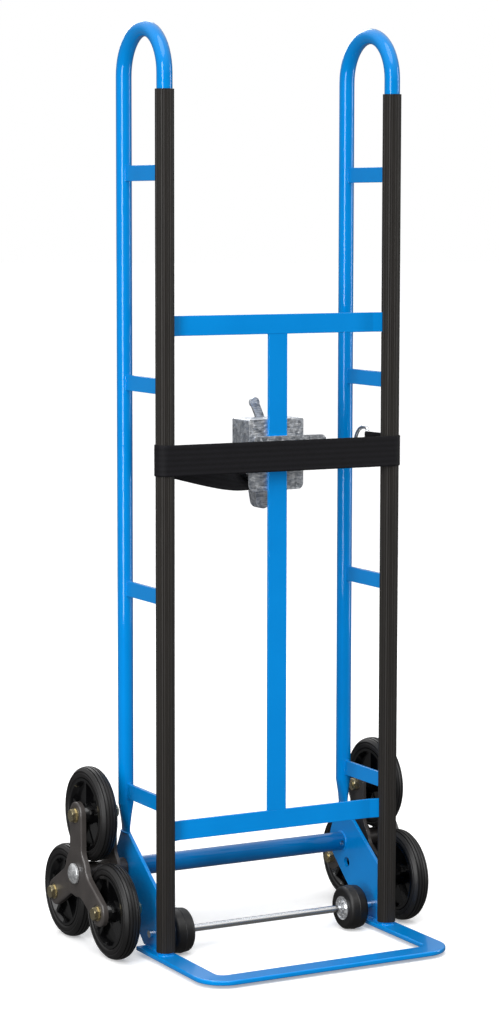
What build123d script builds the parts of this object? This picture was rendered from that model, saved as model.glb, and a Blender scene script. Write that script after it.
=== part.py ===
from build123d import *
import math
import os

# Stair climbing hand truck. Millimetres, +Z up, X across the truck.
# The load side faces -Y. While modelling, the front posts stand on y = 0 and the floor is z = 0.
# Every shape is moved along Y once, at the end, so that the origin lies under the middle.

# Overall sizes
overall_height = 1508.0
post_spacing = 416.0
frame_depth = 146.0
toe_reach = 190.0
toe_clearance = 6.0
weld_gap = 0.05
slip_fit = 0.05

# Bent tube of each side frame
tube_diameter = 25.4
tube_wall = 2.0
pinch_thickness = 8.0
pinch_width = 28.0
pinch_length = 40.0
pinch_foot = 9.0

# Ribbed plastic sleeve on each front post
sleeve_wall = 2.45
sleeve_fit = 0.1
sleeve_drop = 110.0
sleeve_foot = 5.0
sleeve_slit = 8.0
flute_count = 24
flute_depth = 0.7
flute_width = 1.6

# Flat bars: rungs, crossbars and the upright
bar_edge = 1.0
rung_height = 25.0
rung_thickness = 6.0
rung_above_axle = 130.5
rung_drop = 240.0
rung_count = 4
bar_height = 32.0
bar_thickness = 5.0
bar_set_back = 8.0
bar_end_set_back = 5.0
bar_end_length = 14.0
bar_joggle = 16.0
bar_bend = 8.0
upper_bar_drop = 481.0
lower_bar_above_axle = 86.5
upright_width = 34.0
upright_thickness = 6.0

# Toe hoop, a flat bar bent on edge
toe_width = 37.0
toe_thickness = 8.0
toe_corner = 50.0
toe_inner_corner = 14.0
toe_edge_round = 2.5
toe_tail = 68.0
toe_overhang = 20.0
toe_seat = 0.5

# Gusset plates and the axle they carry
gusset_thickness = 6.0
gusset_front_top = 102.0
gusset_rear_foot = 74.0
gusset_rise = 59.5
gusset_lobe = 40.0
gusset_hole = 18.0
gusset_hole_back = 18.5
gusset_hole_drop = 33.5
gusset_edge = 0.8
axle_diameter = 20.0
axle_tube_diameter = 31.75
axle_tube_hole = 9.0
axle_tube_hole_inset = 8.0

# Three-wheel spiders
wheel_radius = 78.0
wheel_to_axle = 19.0
spider_inner_thickness = 6.0
spider_outer_thickness = 10.0
spider_lobe = 22.0
spider_heart = 40.0
spider_arm = 46.0
spider_corner = 24.0
spider_round = 3.5
spider_inner_round = 1.0
spot_diameter = 30.0
spot_depth = 1.0
sleeve_hub_diameter = 34.0
hub_length = 49.0
hub_gap = 0.5
hub_play = 1.0
hub_reach = 24.0
cap_diameter = 34.0
cap_height = 9.0
cap_lip = 3.0
cap_flat = 4.0
bolt_diameter = 12.0
bolt_head_flats = 19.0
bolt_head_height = 8.0
bolt_washer = 25.0
bolt_washer_thickness = 1.5
nut_height = 10.0
bolt_end = 1.5
hex_corner_cut = 1.3

# Wheels
wheel_width = 28.0
wheel_inset = 6.0
tyre_depth = 19.0
tyre_crown = 2.5
tyre_shoulder = 4.0
tyre_bead = 3.0
groove_count = 4
groove_depth = 1.4
groove_width = 1.8
groove_spacing = 5.2
wall_line_depth = 0.8
wall_line_height = 1.6
rim_width = 26.0
rim_flange = 7.0
rim_slope = 5.0
rim_web = 7.0
rim_hub_diameter = 32.0
rim_hub_root = 4.0
rib_count = 5
rib_thickness = 6.0
rib_depth = 10.5

# Small rollers behind the toe
roller_radius = 37.5
roller_width = 36.0
roller_hub_radius = 20.0
roller_shoulder = 7.0
roller_crown = 1.0
roller_seam = 0.5
roller_seam_width = 1.4
roller_boss_radius = 11.0
roller_dish_radius = 14.0
roller_dish_edge = 18.0
roller_dish = 3.0
roller_notches = 6
roller_notch_width = 3.0
roller_inset = 26.0
rod_diameter = 12.0
rod_back = 45.0
rod_overhang = 5.0
collar_diameter = 20.0
collar_width = 5.0
collar_gap = 0.4

# Strap winch on the upright
winch_width = 101.0
winch_height = 116.0
winch_drop = 154.0
winch_play = 1.0
winch_sheet = 2.5
winch_corner = 10.0
winch_bend = 3.0
winch_side_height = 89.0
winch_side_rise = 10.0
spindle_drop = 70.0
spindle_diameter = 16.0
spindle_flange = 4.0
spindle_flange_width = 3.0
spindle_end_gap = 0.5
spindle_front_gap = 0.3
ratchet_tip = 24.0
ratchet_root = 19.5
ratchet_teeth = 12
ratchet_width = 6.0
ratchet_gap = 1.0
ratchet_undercut = 0.06
pawl_reach_x = 14.0
pawl_reach_z = 43.0
pawl_clear = 0.6
pawl_tip = 2.0
pawl_hub = 8.0
pawl_pin_diameter = 8.0
pawl_head = 13.0
pawl_head_gap = 0.4
pawl_head_height = 1.2
pawl_nose_angle = 100.0
ear_width = 17.0
ear_neck = 14.0
ear_lean = 22.0
ear_height = 59.0
handle_sheet = 4.0
handle_width = 26.0
handle_length = 71.0
handle_hub = 17.0
handle_flange = 23.0
handle_skirt_drop = 33.0
handle_gap = 2.0
handle_lean = 10.0
clamp_height = 30.0
clamp_sheet = 4.0
clamp_left = 45.0
clamp_right = 88.0
clamp_drop = 42.0
clamp_corner = 10.0
clamp_small_corner = 3.0
clamp_bolt = 8.0
clamp_bolt_gap = 2.5
clamp_bolt_flats = 13.0
clamp_bolt_head = 5.0

# Webbing strap, its ring and its hook
strap_width = 50.0
strap_thickness = 2.0
strap_drop = 58.0
strap_lay = 0.15
strap_turn_in = 28.0
strap_tail = 34.0
sewn_run = 14.0
twist_steps = 14
roll_core = 30.0
roll_turns = 2
roll_gap = 0.6
ring_wire = 6.0
ring_room = 4.0
ring_width = 40.0
ring_corner = 29.0
ring_strap_corner = 6.0
ring_out = 4.0
ring_to_leg = 15.0
hook_wire = 7.0
hook_gap = 0.5
hook_tip = 4.0

# Places that follow from the sizes above
post_x = post_spacing / 2
tube_radius = tube_diameter / 2
sleeve_diameter = tube_diameter + 2 * (sleeve_fit + sleeve_wall)
sleeve_top = overall_height - sleeve_drop
toe_outer_width = post_spacing + 2 * toe_overhang
toe_top = toe_clearance + toe_thickness
seat_level = toe_top - toe_seat
bend_radius = frame_depth / 2
bend_level = overall_height - tube_radius - bend_radius
axle_y = frame_depth
spider_radius = wheel_radius + wheel_to_axle
axle_z = wheel_radius + spider_radius * math.sin(math.radians(30))
gusset_top = axle_z + gusset_rise
gusset_outer = post_x + gusset_thickness / 2
rung_first = axle_z + rung_above_axle
rung_pitch = (overall_height - rung_drop - rung_first) / (rung_count - 1)
upper_bar_level = overall_height - upper_bar_drop
lower_bar_level = axle_z + lower_bar_above_axle
rod_z = roller_radius
upright_front = bar_set_back - bar_thickness / 2
winch_depth = strap_width + 2 * winch_play
winch_top = upper_bar_level - winch_drop
winch_bottom = winch_top - winch_height
winch_side_bottom = winch_top - winch_side_height
spindle_level = winch_top - spindle_drop
clamp_level = winch_top - clamp_drop
strap_level = winch_top - strap_drop
ring_height = strap_width + 2 * (ring_wire + ring_room) - ring_wire
winch_front = upright_front + upright_thickness
winch_inside = winch_front + winch_sheet
winch_back = winch_inside + winch_depth
ratchet_front = winch_back + winch_sheet + ratchet_gap
ratchet_back = ratchet_front + ratchet_width
handle_front = ratchet_back + handle_gap
handle_back = handle_front + handle_sheet
hub_start = gusset_outer + hub_play
inner_plate_start = gusset_outer + hub_reach
inner_plate_end = inner_plate_start + spider_inner_thickness
outer_plate_start = inner_plate_end + hub_length + 2 * hub_gap
outer_plate_end = outer_plate_start + spider_outer_thickness
wheel_middle = outer_plate_start - hub_gap - rim_width / 2 - wheel_inset
rear_reach = axle_y + spider_radius * math.cos(math.radians(30)) + wheel_radius
y_shift = (toe_reach - rear_reach) / 2
left, right = -1, 1
side_names = {left: "left", right: "right"}


def save(shape, node):
    """Moves a finished shape to the common origin and writes it under its own name."""
    export_step(Pos(0, y_shift, 0) * shape, f"parts/{node}.step")


def along_x(start, end, radius, y, z):
    """Round bar that lies across the truck, from one x to another."""
    return Plane((start, y, z), z_dir=(1, 0, 0)) * extrude(Circle(radius), end - start)


def along_y(start, end, radius, x, z):
    """Round bar that runs from front to back, from one y to another."""
    across = Plane((x, start, z), x_dir=(1, 0, 0), z_dir=(0, 1, 0))
    return across * extrude(Circle(radius), end - start)


def plate_x(sketch, start, end):
    """Plate whose outline is drawn in (y, z), between two x places."""
    return Plane((start, 0, 0), x_dir=(0, 1, 0), z_dir=(1, 0, 0)) * extrude(sketch, end - start)


def plate_y(sketch, start, end):
    """Plate whose outline is drawn in (x, z), between two y places."""
    upright = Plane((0, start, 0), x_dir=(1, 0, 0), z_dir=(0, -1, 0))
    return upright * extrude(sketch, start - end)


def turned_x(sketch, y, z):
    """Ring turned about a crossways axis: the sketch holds (x along the axis, radius)."""
    section = Plane((0, y, z), x_dir=(1, 0, 0), z_dir=(0, 0, -1)) * sketch
    return revolve(section, Axis((0, y, z), (1, 0, 0)))


def mirrored(side, shape):
    """The same piece on the chosen side of the truck, given the right-hand one."""
    return shape if side == right else mirror(shape, Plane.YZ)


def hexagon(flats, height):
    """Bolt head or nut that stands along +Z, with the corners of its free end turned down."""
    corner = flats / math.sqrt(3)
    turned = Pos(0, 0, height / 2) * Cylinder(corner, height)
    turned = chamfer(turned.edges().group_by(Axis.Z)[-1], hex_corner_cut)
    return extrude(RegularPolygon(corner, 6), height) & turned


os.makedirs("parts", exist_ok=True)

# Side frames: one tube each, up the front post, over the hand loop and down the rear leg.
# The rear leg ends pinched flat where it stands on the gusset plate.
leg_end = gusset_top + pinch_foot + pinch_length
bend_start = (0, 0, bend_level)
bend_top = (0, bend_radius, bend_level + bend_radius)
bend_end = (0, frame_depth, bend_level)
tube_path = Line((0, 0, seat_level), bend_start)
tube_path += ThreePointArc(bend_start, bend_top, bend_end)
tube_path += Line(bend_end, (0, frame_depth, leg_end))
tube_ring = Pos(0, 0, seat_level) * (Circle(tube_radius) - Circle(tube_radius - tube_wall))
bent_tube = sweep(tube_ring, path=tube_path)
flat_end = Ellipse(pinch_thickness / 2, pinch_width / 2)
flat_face = Pos(0, frame_depth, gusset_top + pinch_foot) * flat_end
round_face = Pos(0, frame_depth, leg_end) * Circle(tube_radius)
pinch = loft([flat_face, round_face])
pinch += Pos(0, frame_depth, gusset_top) * extrude(flat_end, pinch_foot)
side_frame = Pos(post_x, 0, 0) * (bent_tube + pinch)
for side, name in side_names.items():
    save(mirrored(side, side_frame), f"side_frame_{name}")

# Rungs: flat bars set on edge, their ends hollowed to sit on the two legs.
front_cutter = Cylinder(tube_radius + weld_gap, 2 * overall_height)
rear_cutter = Pos(0, frame_depth, 0) * front_cutter
rung = Pos(0, frame_depth / 2, 0) * Box(rung_thickness, frame_depth, rung_height)
rung = fillet(rung.edges().filter_by(Axis.Y), bar_edge)
rung = rung - front_cutter - rear_cutter
rung_levels = [rung_first + rung_pitch * step for step in range(rung_count)]
for side, name in side_names.items():
    rungs = [Pos(side * post_x, 0, level) * rung for level in rung_levels]
    save(Compound(rungs), f"rungs_{name}")

# Crossbars: flat bars with both ends set forward to meet the posts.
bend_x = post_x - bar_end_length
bar_points = [(-post_x, bar_end_set_back), (-bend_x, bar_end_set_back)]
bar_points += [(-bend_x + bar_joggle, bar_set_back)]
bar_points += [(-x, y) for x, y in reversed(bar_points)]
bar_path = FilletPolyline(*[(x, y, 0) for x, y in bar_points], radius=bar_bend)
bar_plane = Plane((-post_x, bar_end_set_back, 0), x_dir=(0, 1, 0), z_dir=(1, 0, 0))
bar_section = bar_plane * RectangleRounded(bar_thickness, bar_height, bar_edge)
cross_bar = sweep(bar_section, path=bar_path)
for side in side_names:
    cross_bar -= Pos(side * post_x, 0, 0) * front_cutter
bar_levels = {"upper_crossbar": upper_bar_level, "lower_crossbar": lower_bar_level}
for node, level in bar_levels.items():
    kept = (Pos(0, 0, level) * cross_bar).solids().sort_by(SortBy.VOLUME)[-1]
    save(kept, node)

# Upright: a flat bar butted between the crossbars, flush with their front.
upright_length = upper_bar_level - lower_bar_level - bar_height
upright_level = (upper_bar_level + lower_bar_level) / 2
upright = Box(upright_width, upright_thickness, upright_length)
upright = fillet(upright.edges().filter_by(Axis.Z), bar_edge)
save(Pos(0, upright_front + upright_thickness / 2, upright_level) * upright, "centre_upright")

# Sleeves: fluted extrusions, slit along the back so that they snap over the post.
sleeve_radius = sleeve_diameter / 2
sleeve_bore = tube_radius + sleeve_fit
flute_points = [(flute_depth, -flute_width), (flute_depth, flute_width), (-flute_depth, 0)]
flute = Pos(sleeve_radius, 0) * Polygon(*flute_points, align=None)
sleeve_ring = Circle(sleeve_radius) - Circle(sleeve_bore)
for step in range(flute_count):
    sleeve_ring -= Rot(0, 0, (step + 0.5) * 360 / flute_count) * flute
sleeve_ring -= Pos(0, sleeve_radius) * Rectangle(sleeve_slit, 4 * sleeve_wall)
sleeve = Pos(0, 0, seat_level + sleeve_foot) * extrude(sleeve_ring, sleeve_top - seat_level - sleeve_foot)
notch = Box(sleeve_diameter, 2 * bar_thickness, bar_height + 2)
for side, name in side_names.items():
    fitted = Pos(side * post_x, 0, 0) * sleeve
    for level in bar_levels.values():
        fitted -= Pos(side * (post_x - sleeve_radius), bar_end_set_back + 1, level) * notch
    save(fitted, f"sleeve_{name}")

# Toe hoop: outer and inner outline of the bent bar, with softened edges.
# Its arms are milled a little lower where the posts and gussets are welded on.
toe_depth = toe_reach + toe_tail
toe_outside = Pos(0, (toe_tail - toe_reach) / 2) * Rectangle(toe_outer_width, toe_depth)
toe_gap = Rectangle(toe_outer_width - 2 * toe_width, toe_depth)
toe_inside = Pos(0, (toe_tail - toe_reach) / 2 + toe_width) * toe_gap
toe_outside = fillet(toe_outside.vertices().group_by(Axis.Y)[0], toe_corner)
toe_inside = fillet(toe_inside.vertices().group_by(Axis.Y)[0], toe_inner_corner)
toe = Pos(0, 0, toe_clearance) * extrude(toe_outside - toe_inside, toe_thickness)
flat_edges = toe.edges().group_by(Axis.Z)
toe_rims = [edge for edge in flat_edges[0] + flat_edges[-1] if edge.center().Y < toe_tail - weld_gap]
toe = fillet(toe_rims, toe_edge_round)
seat_front = -sleeve_diameter / 2 - 1
seat_cut = Box(toe_outer_width, toe_depth, toe_thickness, align=(Align.CENTER, Align.MIN, Align.MIN))
toe -= Pos(0, seat_front, seat_level) * seat_cut
save(toe, "toe_hoop")

# Gussets: plates behind the posts that carry the axle tube and the roller rod.
back_of_post = tube_radius + weld_gap
gusset_lines = [
    Line((back_of_post, seat_level), (gusset_rear_foot, seat_level)),
    Line((back_of_post, seat_level), (back_of_post, gusset_front_top)),
    Line((axle_y - pinch_width / 2, gusset_top), (axle_y + pinch_width / 2, gusset_top)),
]
lobe = Pos(axle_y, axle_z) * Circle(gusset_lobe)
gusset_face = make_hull(gusset_lines + list(lobe.edges()))
gusset = plate_x(gusset_face, post_x - gusset_thickness / 2, gusset_outer)
gusset_rims = gusset.faces().sort_by(Axis.X)[0].edges() + gusset.faces().sort_by(Axis.X)[-1].edges()
gusset = fillet(gusset_rims, gusset_edge)
hole_y, hole_z = axle_y - gusset_hole_back, axle_z - gusset_hole_drop
gusset -= along_x(0, post_spacing, axle_diameter / 2 + slip_fit, axle_y, axle_z)
gusset -= along_x(0, post_spacing, rod_diameter / 2 + slip_fit, rod_back, rod_z)
gusset -= along_x(0, post_spacing, gusset_hole / 2, hole_y, hole_z)
for side, name in side_names.items():
    save(mirrored(side, gusset), f"gusset_{name}")

# Axle tube between the gussets, with a hole near each end where the axle inside is pinned.
tube_end = post_x - gusset_thickness / 2
axle_tube = along_x(-tube_end, tube_end, axle_tube_diameter / 2, axle_y, axle_z)
axle_tube -= along_x(-tube_end, tube_end, axle_diameter / 2 + slip_fit, axle_y, axle_z)
for side in side_names:
    hole_x = side * (tube_end - axle_tube_hole_inset)
    axle_tube -= along_y(axle_y - axle_tube_diameter, axle_y, axle_tube_hole / 2, hole_x, axle_z)
save(axle_tube, "axle_tube")

# Main axle: one steel bar through the tube, both gussets and both spiders.
axle_end = outer_plate_end + hub_play
save(along_x(-axle_end, axle_end, axle_diameter / 2, axle_y, axle_z), "main_axle")

# Spider plates: three arms from a round heart, wide at the root and rounded at the bolt.
# The outer one has a spot face under each bolt head and well rounded edges.
arm_angles = [90, 210, 330]
wheel_places = []
for angle in arm_angles:
    turn = math.radians(angle)
    wheel_y = axle_y + spider_radius * math.cos(turn)
    wheel_places.append((wheel_y, axle_z + spider_radius * math.sin(turn)))
arm_points = [(0, -spider_arm / 2), (spider_radius, -spider_lobe)]
arm_points += [(spider_radius, spider_lobe), (0, spider_arm / 2)]
arm = Polygon(*arm_points, align=None) + Pos(spider_radius, 0) * Circle(spider_lobe)
spider_face = Circle(spider_heart)
for angle in arm_angles:
    spider_face += Rot(0, 0, angle) * arm
inner_corners = [v for v in spider_face.vertices() if v.center().length < spider_radius * 0.7]
spider_face = fillet(inner_corners, spider_corner)
spider_face = Pos(axle_y, axle_z) * spider_face
inner_plate = plate_x(spider_face, inner_plate_start, inner_plate_end)
outer_plate = plate_x(spider_face, outer_plate_start, outer_plate_end)
inner_plate = fillet(inner_plate.faces().sort_by(Axis.X)[0].edges(), spider_inner_round)
outer_plate = fillet(outer_plate.faces().sort_by(Axis.X)[-1].edges(), spider_round)
bolt_seat = outer_plate_end - spot_depth
hub_bore = along_x(inner_plate_start, outer_plate_end, sleeve_hub_diameter / 2 + slip_fit, axle_y, axle_z)
inner_plate -= hub_bore
outer_plate -= hub_bore
for y, z in wheel_places:
    bolt_bore = along_x(inner_plate_start, outer_plate_end, bolt_diameter / 2 + slip_fit, y, z)
    inner_plate -= bolt_bore
    outer_plate -= bolt_bore
    outer_plate -= along_x(bolt_seat, outer_plate_end, spot_diameter / 2, y, z)

# Hub sleeve that both plates sit on, and the push-on cap at the end of the axle.
hub_end = outer_plate_end + hub_gap
hub_sleeve = along_x(hub_start, hub_end, sleeve_hub_diameter / 2, axle_y, axle_z)
hub_sleeve -= along_x(hub_start, hub_end, axle_diameter / 2 + slip_fit, axle_y, axle_z)
cap_radius = cap_diameter / 2
cap_rise = cap_height - cap_lip
cap_sphere = ((cap_radius - cap_flat) ** 2 + cap_rise**2) / (2 * cap_rise)
cap_rim = (axle_end + cap_lip, cap_radius)
cap_crown = (axle_end + cap_height, cap_flat)
with BuildSketch() as cap_sketch:
    with BuildLine():
        Polyline((axle_end + cap_height, 0), (axle_end, 0), (axle_end, cap_radius), cap_rim)
        RadiusArc(cap_rim, cap_crown, cap_sphere)
        Line(cap_crown, (axle_end + cap_height, 0))
    make_face()
hub_cap = turned_x(cap_sketch.sketch, axle_y, axle_z)

# Bolts and nuts that carry the three wheels of each spider.
nut_start = inner_plate_start - nut_height
head_start = bolt_seat + bolt_washer_thickness
bolts = []
nuts = []
for y, z in wheel_places:
    bolt = along_x(nut_start - bolt_end, head_start, bolt_diameter / 2, y, z)
    bolt += along_x(bolt_seat, head_start, bolt_washer / 2, y, z)
    bolt += Plane((head_start, y, z), z_dir=(1, 0, 0)) * hexagon(bolt_head_flats, bolt_head_height)
    bolts.append(bolt)
    nut = Plane((inner_plate_start, y, z), z_dir=(-1, 0, 0)) * hexagon(bolt_head_flats, nut_height)
    nuts.append(nut - along_x(nut_start, inner_plate_start, bolt_diameter / 2 + slip_fit, y, z))

# Tyre: solid rubber with grooves round the tread and a moulded line on each wall.
rim_radius = wheel_radius - tyre_depth
tread_edge = wheel_width / 2 - tyre_shoulder
tread_end = wheel_radius - tyre_crown
wall_line = (rim_radius + wheel_radius) / 2
wall_points = [
    (wheel_width / 2 - tyre_bead, rim_radius + slip_fit),
    (wheel_width / 2, rim_radius + tyre_bead),
    (wheel_width / 2, wall_line - wall_line_height),
    (wheel_width / 2 - wall_line_depth, wall_line - wall_line_height / 2),
    (wheel_width / 2 - wall_line_depth, wall_line + wall_line_height / 2),
    (wheel_width / 2, wall_line + wall_line_height),
    (wheel_width / 2, tread_end - tyre_shoulder),
    (tread_edge, tread_end),
]
other_wall = [(-x, radius) for x, radius in wall_points]
with BuildSketch() as tyre_sketch:
    with BuildLine():
        Polyline(*wall_points)
        ThreePointArc((tread_edge, tread_end), (0, wheel_radius), (-tread_edge, tread_end))
        Polyline(*reversed(other_wall))
        Line(other_wall[0], wall_points[0])
    make_face()
    for step in range(groove_count):
        place = (step - (groove_count - 1) / 2) * groove_spacing
        surface = wheel_radius - tyre_crown * (place / tread_edge) ** 2
        with Locations((place, surface)):
            Rectangle(groove_width, 2 * groove_depth, mode=Mode.SUBTRACT)
tyre = turned_x(tyre_sketch.sketch, 0, 0)

# Rim: a moulded barrel, hub and thin web, stiffened by ribs on both faces.
barrel = rim_width / 2
rim_inside = rim_radius - rim_flange
hub_radius = rim_hub_diameter / 2
hub_left = inner_plate_end + hub_gap - wheel_middle
hub_right = outer_plate_start - hub_gap - wheel_middle
bore = bolt_diameter / 2 + slip_fit
dish = rim_inside + rim_slope / 2
web_top = rim_inside - rim_slope / 2
web_root = hub_radius + rim_hub_root
rim_points = [(-barrel, rim_radius), (barrel, rim_radius), (barrel, dish), (rim_web / 2, web_top)]
rim_points += [(rim_web / 2, web_root), (hub_right, hub_radius), (hub_right, bore)]
rim_points += [(hub_left, bore), (hub_left, hub_radius), (-rim_web / 2, web_root)]
rim_points += [(-rim_web / 2, web_top), (-barrel, dish)]
rim = turned_x(make_face(Polyline(*rim_points, close=True)), 0, 0)
rib_length = rim_inside - hub_radius + rim_hub_root
rib = Pos(0, hub_radius + rib_length / 2 - rim_hub_root / 2, 0) * Box(2 * rib_depth, rib_length, rib_thickness)
for step in range(rib_count):
    rim += Rot(90 + step * 360 / rib_count, 0, 0) * rib
wheel_names = ["top", "front", "rear"]
for side, name in side_names.items():
    save(mirrored(side, inner_plate), f"spider_inner_{name}")
    save(mirrored(side, outer_plate), f"spider_outer_{name}")
    save(mirrored(side, hub_sleeve), f"spider_hub_{name}")
    save(mirrored(side, hub_cap), f"axle_cap_{name}")
    save(mirrored(side, Compound(bolts)), f"wheel_bolts_{name}")
    save(mirrored(side, Compound(nuts)), f"wheel_nuts_{name}")
    for wheel, (y, z) in zip(wheel_names, wheel_places):
        place = Pos(wheel_middle, y, z)
        save(mirrored(side, place * tyre), f"tyre_{wheel}_{name}")
        save(mirrored(side, place * rim), f"rim_{wheel}_{name}")

# Rollers: crowned rubber with a mould seam, on a pressed hub with notched faces.
roller_outer = post_x - roller_inset
roller_inner = roller_outer - roller_width
roller_middle = (roller_outer + roller_inner) / 2
half = roller_width / 2
crown_start = half - roller_shoulder
crown_low = roller_radius - roller_seam - roller_crown
shoulder_low = roller_radius - roller_shoulder
seam_low = roller_radius - roller_seam
seam_half = roller_seam_width / 2
inside = roller_hub_radius + slip_fit
with BuildSketch() as roller_sketch:
    with BuildLine():
        Line((-half + 2, inside), (-half + 1, shoulder_low))
        RadiusArc((-half + 1, shoulder_low), (-crown_start, crown_low), roller_shoulder)
        Line((-crown_start, crown_low), (-2 * seam_half, seam_low))
        Polyline((-2 * seam_half, seam_low), (-seam_half, roller_radius), (seam_half, roller_radius))
        Polyline((seam_half, roller_radius), (2 * seam_half, seam_low), (crown_start, crown_low))
        RadiusArc((crown_start, crown_low), (half - 1, shoulder_low), roller_shoulder)
        Polyline((half - 1, shoulder_low), (half - 2, inside), (-half + 2, inside))
    make_face()
rod_bore = rod_diameter / 2 + slip_fit
face_points = [(half, rod_bore), (half, roller_boss_radius), (half - roller_dish, roller_dish_radius)]
face_points += [(half - roller_dish, roller_dish_edge), (half - 1, roller_hub_radius)]
other_face = [(-x, radius) for x, radius in reversed(face_points)]
roller_tyre = turned_x(roller_sketch.sketch, 0, 0)
roller_hub = turned_x(make_face(Polyline(*face_points, *other_face, close=True)), 0, 0)
slot_length = roller_boss_radius - rod_diameter / 2
for step in range(roller_notches):
    for end in (-half, half):
        slot = Pos(end, roller_boss_radius, 0) * Box(roller_dish, slot_length, roller_notch_width)
        roller_hub -= Rot(step * 360 / roller_notches, 0, 0) * slot
rod_end = gusset_outer + rod_overhang
collars = []
for side, name in side_names.items():
    place = Pos(side * roller_middle, rod_back, rod_z)
    save(place * roller_tyre, f"roller_tyre_{name}")
    save(place * roller_hub, f"roller_hub_{name}")
    for start in (roller_inner - collar_gap - collar_width, roller_outer + collar_gap):
        collar = along_x(start, start + collar_width, collar_diameter / 2, rod_back, rod_z)
        collar -= along_x(start, start + collar_width, rod_bore, rod_back, rod_z)
        collars.append(mirrored(side, collar))
save(along_x(-rod_end, rod_end, rod_diameter / 2, rod_back, rod_z), "roller_rod")
save(Compound(collars), "rod_collars")

# Winch housing: a folded sheet box, open at the back and below, with a rounded front apron.
winch_level = (winch_top + winch_bottom) / 2
box_length = winch_back + winch_sheet - winch_front
housing = Pos(0, winch_front + box_length / 2, winch_level) * Box(winch_width, box_length, winch_height)
housing = fillet(housing.edges().filter_by(Axis.Y).group_by(Axis.Z)[-1], winch_bend)
hollow = Box(winch_width - 2 * winch_sheet, box_length, winch_height)
housing -= Pos(0, winch_inside + box_length / 2, winch_level - winch_sheet) * hollow
side_cut_back = winch_back + 2 * winch_sheet
side_cut_points = [(winch_inside, winch_bottom - 1), (side_cut_back, winch_bottom - 1)]
side_cut_points += [(side_cut_back, winch_side_bottom + winch_side_rise), (winch_inside, winch_side_bottom)]
housing -= plate_x(Polygon(*side_cut_points, align=None), -winch_width, winch_width)
housing = fillet(housing.edges().filter_by(Axis.Y).group_by(Axis.Z)[0], winch_corner)
housing -= along_y(winch_front, winch_inside, spindle_diameter / 2 + slip_fit, 0, spindle_level)
clamp_bolt_x = upright_width / 2 + clamp_bolt_gap + clamp_bolt / 2
for x in (-clamp_bolt_x, clamp_bolt_x):
    housing -= along_y(winch_front, winch_inside, clamp_bolt / 2 + slip_fit, x, clamp_level)
save(housing, "winch_housing")

# Back plate of the winch, between the folded sides.
back_width = winch_width - 2 * winch_sheet - 2 * slip_fit
back_height = winch_height - winch_sheet - slip_fit
back_plate = Pos(0, winch_bottom + back_height / 2) * Rectangle(back_width, back_height)
back_plate = fillet(back_plate.vertices().group_by(Axis.Y)[0], winch_corner)
back_plate -= Pos(0, spindle_level) * Circle(spindle_diameter / 2 + slip_fit)
save(plate_y(back_plate, winch_back, winch_back + winch_sheet), "winch_back_plate")

# Clamp plate across the front of the upright, and the two bolts that pull the winch to it.
clamp = Rectangle(clamp_left + clamp_right, clamp_height)
clamp = Pos((clamp_right - clamp_left) / 2, clamp_level) * clamp
clamp = fillet(clamp.vertices().group_by(Axis.X)[-1], clamp_corner)
clamp = fillet(clamp.vertices().group_by(Axis.X)[0], clamp_small_corner)
clamp_front = upright_front - clamp_sheet
clamp_bolts = []
for x in (-clamp_bolt_x, clamp_bolt_x):
    clamp -= Pos(x, clamp_level) * Circle(clamp_bolt / 2 + slip_fit)
    head = Plane((x, clamp_front, clamp_level), x_dir=(1, 0, 0), z_dir=(0, -1, 0))
    bolt = head * hexagon(clamp_bolt_flats, clamp_bolt_head)
    clamp_bolts.append(bolt + along_y(clamp_front, winch_inside, clamp_bolt / 2, x, clamp_level))
save(plate_y(clamp, clamp_front, upright_front), "clamp_plate")
save(Compound(clamp_bolts), "clamp_bolts")

# Winch spindle, with a retaining flange behind the handle.
flange_start = handle_back + spindle_end_gap
flange_end = flange_start + spindle_flange_width
flange_radius = spindle_diameter / 2 + spindle_flange
spindle = along_y(winch_front + spindle_front_gap, flange_end, spindle_diameter / 2, 0, spindle_level)
spindle += along_y(flange_start, flange_end, flange_radius, 0, spindle_level)
save(spindle, "winch_spindle")

# Ratchet wheel: saw teeth, steep on the side that the pawl holds.
tooth_points = []
for step in range(ratchet_teeth):
    steep = 2 * math.pi * step / ratchet_teeth
    tooth_points.append((ratchet_tip * math.cos(steep), ratchet_tip * math.sin(steep)))
    steep += ratchet_undercut
    tooth_points.append((ratchet_root * math.cos(steep), ratchet_root * math.sin(steep)))
ratchet_face = make_face(Polyline(*tooth_points, close=True)) - Circle(spindle_diameter / 2 + slip_fit)
save(plate_y(Pos(0, spindle_level) * ratchet_face, ratchet_front, ratchet_back), "ratchet_wheel")


def pawl_outline(pivot_x, pivot_z, nose_x, nose_z):
    """Nose side of a pawl: a tapered finger from the pivot to the ratchet teeth."""
    reach = math.hypot(nose_x - pivot_x, nose_z - pivot_z)
    lean = math.degrees(math.atan2(nose_z - pivot_z, nose_x - pivot_x))
    finger = Polygon((0, -pawl_hub), (reach, -pawl_tip), (reach, pawl_tip), (0, pawl_hub), align=None)
    return Pos(pivot_x, pivot_z) * (Circle(pawl_hub) + Rot(0, 0, lean) * finger)


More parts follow.
